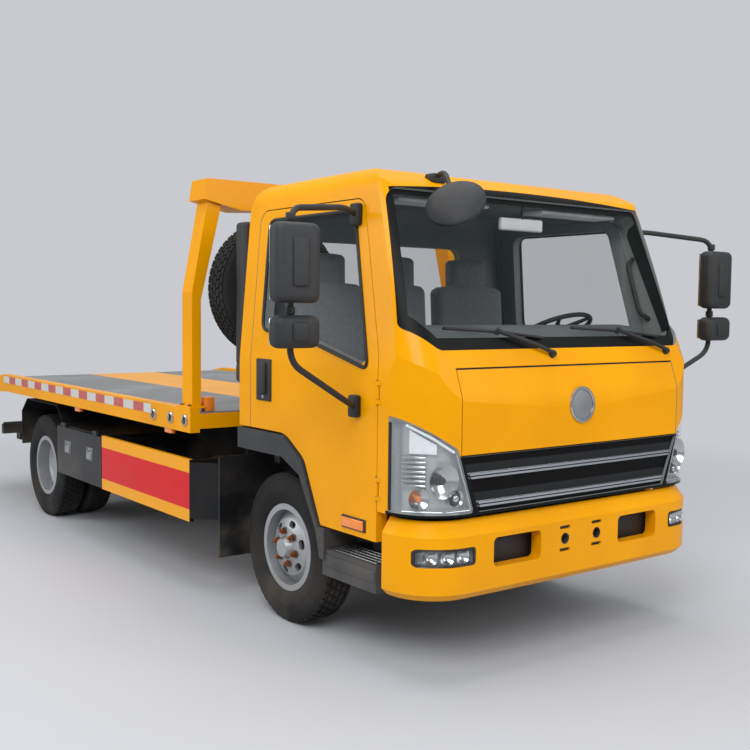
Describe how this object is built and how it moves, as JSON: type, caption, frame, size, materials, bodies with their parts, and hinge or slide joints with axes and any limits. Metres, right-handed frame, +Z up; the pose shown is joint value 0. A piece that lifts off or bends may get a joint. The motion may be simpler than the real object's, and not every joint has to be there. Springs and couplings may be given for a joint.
{
  "type": "flatbed tow truck",
  "caption": "Light cab-over flatbed tow truck: tilting cab with opening doors, steered front wheels, twin rear wheels, and a flat bed with gantry and winch that tilts and slides back.",
  "frame": {"origin": "on the ground, under the middle of the truck's length and width", "axes": "+X points to the front of the truck, +Y to its left side, +Z up"},
  "size_m": [5.995, 3.01, 2.31],
  "materials": {
    "yellow_paint": "gloss",
    "black_paint": "satin",
    "deck_grey": "satin",
    "silver_paint": "satin",
    "primer": "matte",
    "dark_plastic": "matte",
    "grey_plastic": "matte",
    "seat_cloth": "matte",
    "tyre": "matte",
    "clear_glass": "gloss",
    "lamp": "gloss",
    "red_lamp": "gloss",
    "steel": "satin",
    "casting": "matte"
  },
  "bodies": {
    "chassis": {"chassis_frame": "black_paint", "engine_block": "casting", "front_axle": "black_paint", "rear_axle": "black_paint", "leaf_springs": "black_paint", "drive_shaft": "black_paint", "exhaust": "steel", "fuel_tank": "black_paint", "bumper": "yellow_paint", "fog_lamps": "lamp", "side_guards": "yellow_paint", "toolboxes": "black_paint", "mudguards": "black_paint", "spare_carrier": "primer", "spare_tyre": "tyre", "spare_rim": "silver_paint", "rear_bar": "black_paint", "tail_lamps": "red_lamp", "air_intake": "dark_plastic"},
    "cab": {"cab_roof": "yellow_paint", "cab_floor": "yellow_paint", "cab_back": "yellow_paint", "cab_front": "yellow_paint", "windscreen": "clear_glass", "rear_window": "clear_glass", "grille": "dark_plastic", "headlamps": "lamp", "wipers": "dark_plastic", "front_mirror": "dark_plastic", "dashboard": "grey_plastic", "seats": "seat_cloth", "steering_wheel": "dark_plastic", "step_arches": "dark_plastic"},
    "front_flap": {"front_flap": "yellow_paint"},
    "door_right": {"door_right": "yellow_paint", "door_glass_right": "clear_glass", "mirrors_right": "dark_plastic"},
    "door_left": {"door_left": "yellow_paint", "door_glass_left": "clear_glass", "mirrors_left": "dark_plastic"},
    "toolbox_door_right": {"toolbox_door_right": "black_paint"},
    "toolbox_door_left": {"toolbox_door_left": "black_paint"},
    "knuckle_right": {"knuckle_right": "casting"},
    "knuckle_left": {"knuckle_left": "casting"},
    "front_wheel_right": {"front_tyre_right": "tyre", "front_rim_right": "silver_paint"},
    "front_wheel_left": {"front_tyre_left": "tyre", "front_rim_left": "silver_paint"},
    "rear_wheels_right": {"rear_tyres_right": "tyre", "rear_rims_right": "silver_paint"},
    "rear_wheels_left": {"rear_tyres_left": "tyre", "rear_rims_left": "silver_paint"},
    "subframe": {"subframe": "black_paint"},
    "lift_barrels": {"lift_barrels": "black_paint"},
    "lift_rods": {"lift_rods": "steel"},
    "bed": {"bed_frame": "yellow_paint", "deck_plates": "deck_grey", "gantry": "yellow_paint", "winch": "black_paint"},
    "underlift": {"underlift": "black_paint"}
  },
  "joints": [
    {"name": "steer_right", "type": "hinge", "parent": "chassis", "child": "knuckle_right", "pos_m": [1.7975, -0.69, 0.383], "axis": [0, 0, 1], "range_deg": [-35, 35]},
    {"name": "front_spin_right", "type": "hinge", "parent": "knuckle_right", "child": "front_wheel_right", "pos_m": [1.7975, -0.78, 0.383], "axis": [0, 1, 0], "continuous": true},
    {"name": "rear_spin_right", "type": "hinge", "parent": "chassis", "child": "rear_wheels_right", "pos_m": [-1.5025, -0.8625, 0.383], "axis": [0, 1, 0], "continuous": true},
    {"name": "door_right", "type": "hinge", "parent": "cab", "child": "door_right", "pos_m": [2.666, -0.945, 1.03], "axis": [0, 0, 1], "range_deg": [0, 70]},
    {"name": "toolbox_door_right", "type": "hinge", "parent": "chassis", "child": "toolbox_door_right", "pos_m": [-0.6235, -1.017, 0.762], "axis": [-1, 0, 0], "range_deg": [0, 95]},
    {"name": "steer_left", "type": "hinge", "parent": "chassis", "child": "knuckle_left", "pos_m": [1.7975, 0.69, 0.383], "axis": [0, 0, 1], "range_deg": [-35, 35]},
    {"name": "front_spin_left", "type": "hinge", "parent": "knuckle_left", "child": "front_wheel_left", "pos_m": [1.7975, 0.78, 0.383], "axis": [0, 1, 0], "continuous": true},
    {"name": "rear_spin_left", "type": "hinge", "parent": "chassis", "child": "rear_wheels_left", "pos_m": [-1.5025, 0.8625, 0.383], "axis": [0, 1, 0], "continuous": true},
    {"name": "door_left", "type": "hinge", "parent": "cab", "child": "door_left", "pos_m": [2.666, 0.945, 1.03], "axis": [0, 0, -1], "range_deg": [0, 70]},
    {"name": "toolbox_door_left", "type": "hinge", "parent": "chassis", "child": "toolbox_door_left", "pos_m": [-0.6235, 1.017, 0.762], "axis": [1, 0, 0], "range_deg": [0, 95]},
    {"name": "cab_tilt", "type": "hinge", "parent": "chassis", "child": "cab", "pos_m": [2.8975, 0, 0.6], "axis": [0, 1, 0], "range_deg": [0, 45]},
    {"name": "front_flap", "type": "hinge", "parent": "cab", "child": "front_flap", "pos_m": [2.9195, 0, 1.333], "axis": [0, -1, 0], "range_deg": [0, 65]},
    {"name": "bed_tilt", "type": "hinge", "parent": "chassis", "child": "subframe", "pos_m": [-2.4525, 0, 0.8], "axis": [0, -1, 0], "range_deg": [0, 11]},
    {"name": "bed_slide", "type": "slide", "parent": "subframe", "child": "bed", "axis": [-1, 0, 0], "range_m": [0, 2.4]},
    {"name": "lift_swing", "type": "hinge", "parent": "chassis", "child": "lift_barrels", "pos_m": [-1.1525, 0, 0.63], "axis": [0, -1, 0], "range_deg": [0, 21.92]},
    {"name": "lift_stroke", "type": "slide", "parent": "lift_barrels", "child": "lift_rods", "axis": [0.9892, 0, 0.1462], "range_m": [0, 0.1066]},
    {"name": "underlift", "type": "hinge", "parent": "chassis", "child": "underlift", "pos_m": [-2.3525, 0, 0.47], "axis": [0, -1, 0], "range_deg": [0, 25]}
  ],
  "couplings": [
    {"joint": "steer_left", "follows": "steer_right", "ratio": 1},
    {"joint": "lift_swing", "follows": "bed_tilt", "ratio": 1.9836},
    {"joint": "lift_stroke", "follows": "bed_tilt", "m_per_rad": 0.5529}
  ]
}
